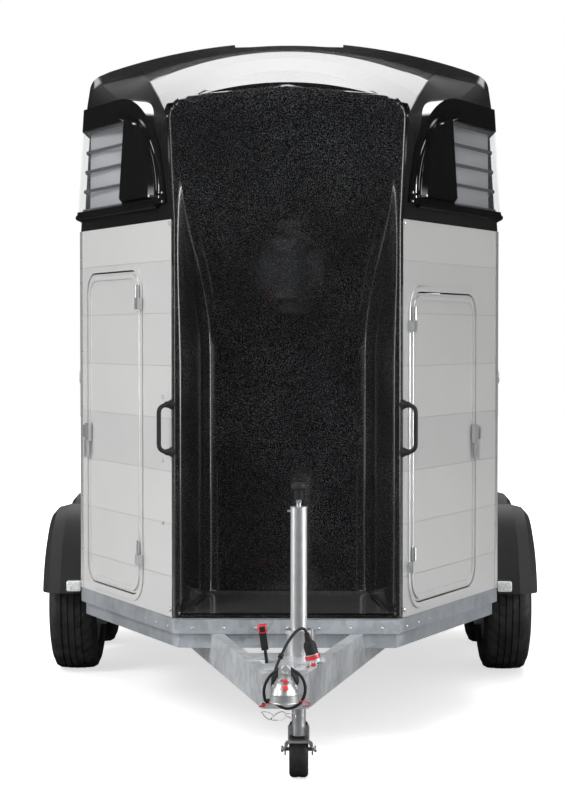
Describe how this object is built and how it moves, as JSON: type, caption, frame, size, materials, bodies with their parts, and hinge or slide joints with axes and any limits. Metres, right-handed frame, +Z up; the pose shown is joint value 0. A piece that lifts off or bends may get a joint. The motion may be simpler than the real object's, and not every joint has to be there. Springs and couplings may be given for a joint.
{
  "type": "horse trailer",
  "caption": "Horse trailer with a plank-walled body, moulded nose and roof hood, side doors, rear ramp and hatch, wheels in tandem, V drawbar, ball coupling and jockey wheel.",
  "frame": {"origin": "on the ground, midway along the trailer's length and width, as it stands parked on its wheels", "axes": "+X to the right when facing the nose, +Y from the coupling to the rear ramp, +Z up"},
  "size_m": [2.26, 4.7, 2.8069],
  "materials": {
    "galvanised": "hot-dip galvanised, satin spangle",
    "aluminium": "anodised planks, satin",
    "black_flake": "gloss black moulding with fine metallic flake",
    "black_gloss": "gloss black",
    "black_matt": "grained black plastic",
    "tyre": "tread rubber",
    "wheel_silver": "silver enamel",
    "deck": "film-faced plywood",
    "clear": "clear acrylic",
    "grille_grey": "dark grey powder coat",
    "blue": "blue enamel",
    "lamp_clear": "clear lens",
    "lamp_red": "red lens",
    "cable_black": "black sheath",
    "cable_red": "red sheath",
    "padding": "black padded vinyl"
  },
  "bodies": {
    "chassis": {"angle_walls": "aluminium", "axles": "galvanised", "bellows": "cable_black", "breakaway_cable": "cable_red", "cable_glands": "galvanised", "corner_posts": "aluminium", "coupling_head": "galvanised", "cross_members": "galvanised", "door_frames": "aluminium", "door_hinges": "galvanised", "draw_tube": "galvanised", "drawbar": "galvanised", "electric_cable": "cable_black", "electric_plug": "cable_black", "floor_deck": "deck", "grab_handles": "black_matt", "handbrake_lever": "black_matt", "hood_shell": "black_flake", "jockey_clamp": "galvanised", "jockey_crank": "black_matt", "jockey_tube": "galvanised", "lower_frame": "galvanised", "marker_lamps": "lamp_clear", "mudguards": "black_matt", "nose_shell": "black_flake", "overrun_housing": "galvanised", "partition": "padding", "perimeter_rail": "galvanised", "plug_holder": "galvanised", "rear_hinges": "galvanised", "rear_portal": "galvanised", "shock_absorbers": "blue", "side_walls": "aluminium", "stall_bars": "padding", "tail_lamps": "lamp_red", "tie_rings": "galvanised", "window_grilles": "grille_grey", "window_panes": "clear", "window_surrounds": "black_gloss"},
    "wheel_front_left": {"tyre_front_left": "tyre", "rim_front_left": "wheel_silver"},
    "wheel_front_right": {"tyre_front_right": "tyre", "rim_front_right": "wheel_silver"},
    "wheel_rear_left": {"tyre_rear_left": "tyre", "rim_rear_left": "wheel_silver"},
    "wheel_rear_right": {"tyre_rear_right": "tyre", "rim_rear_right": "wheel_silver"},
    "left_door": {"door_left": "aluminium", "door_left_fittings": "galvanised"},
    "right_door": {"door_right": "aluminium", "door_right_fittings": "galvanised"},
    "ramp": {"ramp_panel": "aluminium"},
    "hatch": {"hatch_panel": "black_flake"},
    "jockey_caster": {"jockey_fork": "galvanised"},
    "jockey_wheel": {"jockey_rim": "black_matt", "jockey_tyre": "tyre"}
  },
  "joints": [
    {"name": "wheel_front_left_spin", "type": "hinge", "parent": "chassis", "child": "wheel_front_left", "pos_m": [-1.006, 0.73, 0.32], "axis": [1, 0, 0], "continuous": true},
    {"name": "wheel_front_right_spin", "type": "hinge", "parent": "chassis", "child": "wheel_front_right", "pos_m": [1.006, 0.73, 0.32], "axis": [1, 0, 0], "continuous": true},
    {"name": "wheel_rear_left_spin", "type": "hinge", "parent": "chassis", "child": "wheel_rear_left", "pos_m": [-1.006, 1.53, 0.32], "axis": [1, 0, 0], "continuous": true},
    {"name": "wheel_rear_right_spin", "type": "hinge", "parent": "chassis", "child": "wheel_rear_right", "pos_m": [1.006, 1.53, 0.32], "axis": [1, 0, 0], "continuous": true},
    {"name": "left_door_hinge", "type": "hinge", "parent": "chassis", "child": "left_door", "pos_m": [-0.59214, -0.84727, 1.2], "axis": [0, 0, 1], "range_deg": [0, 120]},
    {"name": "right_door_hinge", "type": "hinge", "parent": "chassis", "child": "right_door", "pos_m": [0.48459, -1.06517, 1.2], "axis": [0, 0, -1], "range_deg": [0, 120]},
    {"name": "ramp_hinge", "type": "hinge", "parent": "chassis", "child": "ramp", "pos_m": [0, 2.336, 0.478], "axis": [-1, 0, 0], "range_deg": [0, 108]},
    {"name": "hatch_hinge", "type": "hinge", "parent": "chassis", "child": "hatch", "pos_m": [0, 2.306, 2.752], "axis": [1, 0, 0], "range_deg": [0, 95]},
    {"name": "jockey_caster_swivel", "type": "hinge", "parent": "chassis", "child": "jockey_caster", "pos_m": [0.045, -1.685, 0.3], "axis": [0, 0, 1], "continuous": true},
    {"name": "jockey_wheel_spin", "type": "hinge", "parent": "jockey_caster", "child": "jockey_wheel", "pos_m": [0.045, -1.58, 0.1], "axis": [1, 0, 0], "continuous": true}
  ]
}
